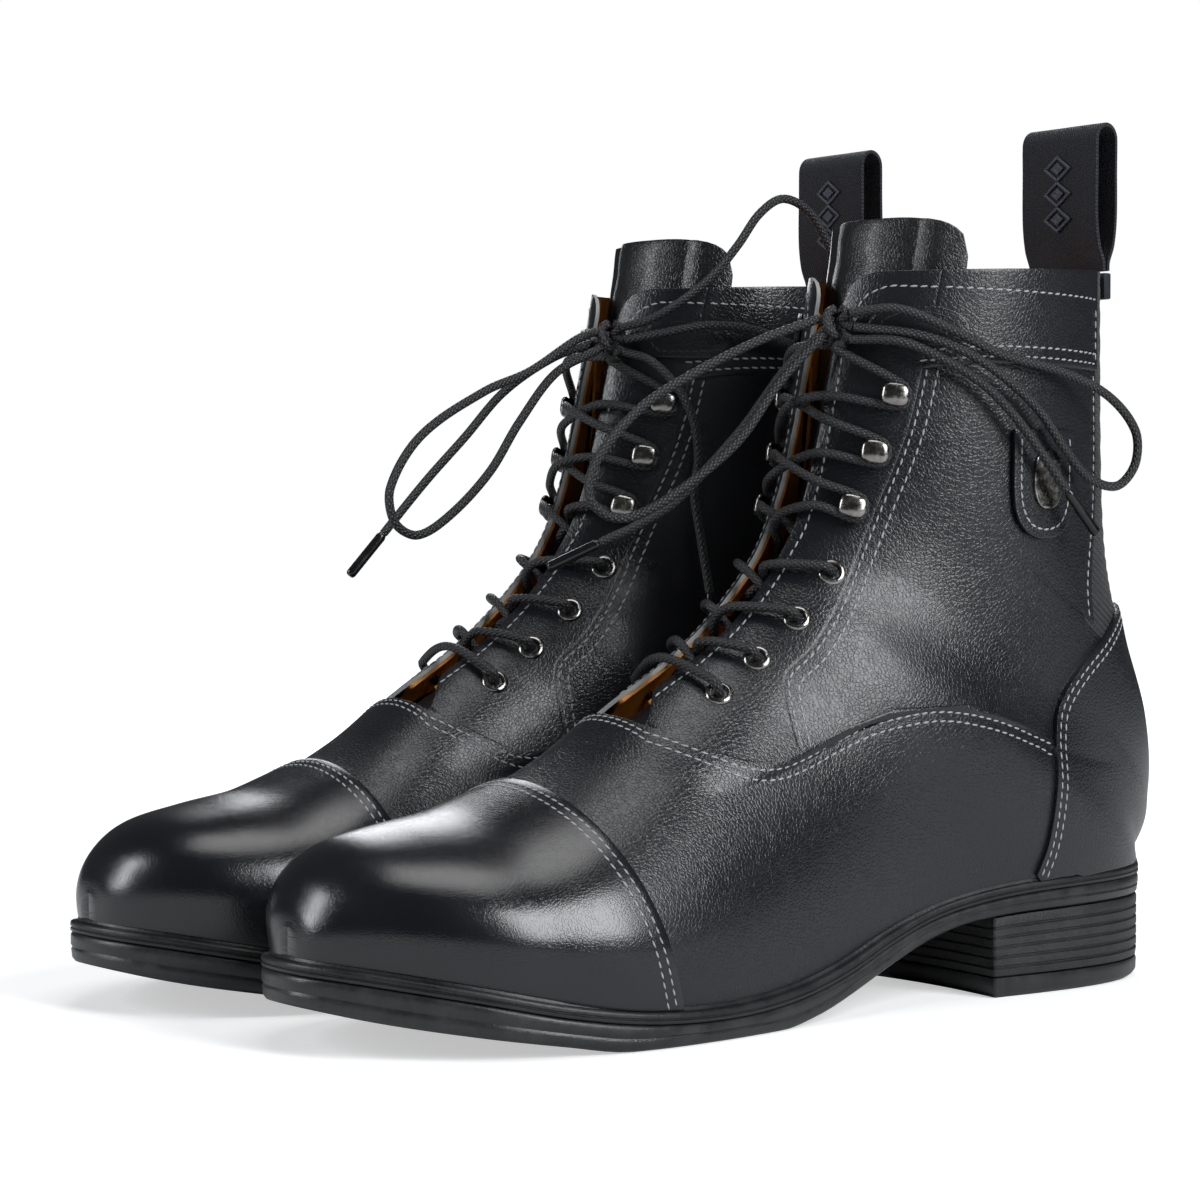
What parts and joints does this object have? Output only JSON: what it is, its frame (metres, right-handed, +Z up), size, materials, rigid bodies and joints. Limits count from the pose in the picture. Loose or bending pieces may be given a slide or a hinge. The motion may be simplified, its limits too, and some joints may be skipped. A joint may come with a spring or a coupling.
{
  "type": "pair of lace-up paddock boots",
  "caption": "Pair of black leather ankle riding boots with toe cap, laced front with eyelets and speed hooks, elastic rear gusset, pull loop and stacked heel",
  "frame": {"origin": "on the floor under the middle of the box round the two boots, without their free laces", "axes": "+Z up, toes towards -Y, the left boot at +X and the right boot at -X"},
  "size_m": [0.214, 0.3236, 0.2678],
  "materials": {
    "aglet": "glossy black sleeve",
    "antique_silver": "antique silver plating, polished",
    "black_leather": "smooth full-grain leather, semi-gloss",
    "cap_leather": "polished smooth leather",
    "elastic": "ribbed woven elastic",
    "footbed": "matte leather footbed",
    "heel_stack": "grooved stacked heel, satin",
    "orange_lining": "undyed amber lining leather, matte",
    "padded_leather": "soft padded leather",
    "rubber": "moulded rubber, matte",
    "waxed_lace": "waxed round braid",
    "webbing": "twill woven webbing",
    "welt_rubber": "moulded rand, satin"
  },
  "bodies": {
    "left_boot": {"left_outsole": "rubber", "left_heel_stack": "heel_stack", "left_heel_top_lift": "rubber", "left_welt": "welt_rubber", "left_insole": "footbed", "left_toe_cap": "cap_leather", "left_vamp": "black_leather", "left_outer_quarter": "black_leather", "left_inner_quarter": "black_leather", "left_outer_facing": "black_leather", "left_inner_facing": "black_leather", "left_heel_counter": "black_leather", "left_rear_gusset": "elastic", "left_lining": "orange_lining", "left_badge_patch": "black_leather", "left_badge_plate": "antique_silver", "left_outer_lace_keeper": "black_leather", "left_inner_lace_keeper": "black_leather", "left_outer_fastener_row": "antique_silver", "left_inner_fastener_row": "antique_silver", "left_lacing": "waxed_lace", "left_lace_knot": "waxed_lace", "left_lace_front_loop": "waxed_lace", "left_lace_rear_loop": "waxed_lace", "left_lace_front_end": "waxed_lace", "left_lace_rear_end": "waxed_lace", "left_front_aglet": "aglet", "left_rear_aglet": "aglet"},
    "left_tongue": {"left_tongue": "padded_leather"},
    "left_pull_tab": {"left_pull_tab": "webbing"},
    "right_boot": {"right_outsole": "rubber", "right_heel_stack": "heel_stack", "right_heel_top_lift": "rubber", "right_welt": "welt_rubber", "right_insole": "footbed", "right_toe_cap": "cap_leather", "right_vamp": "black_leather", "right_outer_quarter": "black_leather", "right_inner_quarter": "black_leather", "right_outer_facing": "black_leather", "right_inner_facing": "black_leather", "right_heel_counter": "black_leather", "right_rear_gusset": "elastic", "right_lining": "orange_lining", "right_badge_patch": "black_leather", "right_badge_plate": "antique_silver", "right_outer_lace_keeper": "black_leather", "right_inner_lace_keeper": "black_leather", "right_outer_fastener_row": "antique_silver", "right_inner_fastener_row": "antique_silver", "right_lacing": "waxed_lace", "right_lace_knot": "waxed_lace", "right_lace_front_loop": "waxed_lace", "right_lace_rear_loop": "waxed_lace", "right_lace_front_end": "waxed_lace", "right_lace_rear_end": "waxed_lace", "right_front_aglet": "aglet", "right_rear_aglet": "aglet"},
    "right_tongue": {"right_tongue": "padded_leather"},
    "right_pull_tab": {"right_pull_tab": "webbing"}
  },
  "joints": [
    {"name": "right_boot_aside", "type": "slide", "parent": "left_boot", "child": "right_boot", "axis": [-1, 0, 0], "range_m": [0, 0.2]},
    {"name": "left_tongue_hinge", "type": "hinge", "parent": "left_boot", "child": "left_tongue", "pos_m": [0.052, -0.0357, 0.0795], "axis": [-1, 0, 0], "range_deg": [0, 8]},
    {"name": "left_pull_tab_flex", "type": "hinge", "parent": "left_boot", "child": "left_pull_tab", "pos_m": [0.052, 0.1348, 0.2218], "axis": [1, 0, 0], "range_deg": [-25, 25], "stiffness_Nm_per_rad": 0.02},
    {"name": "right_tongue_hinge", "type": "hinge", "parent": "right_boot", "child": "right_tongue", "pos_m": [-0.052, -0.0447, 0.0795], "axis": [-1, 0, 0], "range_deg": [0, 8]},
    {"name": "right_pull_tab_flex", "type": "hinge", "parent": "right_boot", "child": "right_pull_tab", "pos_m": [-0.052, 0.1258, 0.2218], "axis": [1, 0, 0], "range_deg": [-25, 25], "stiffness_Nm_per_rad": 0.02}
  ]
}
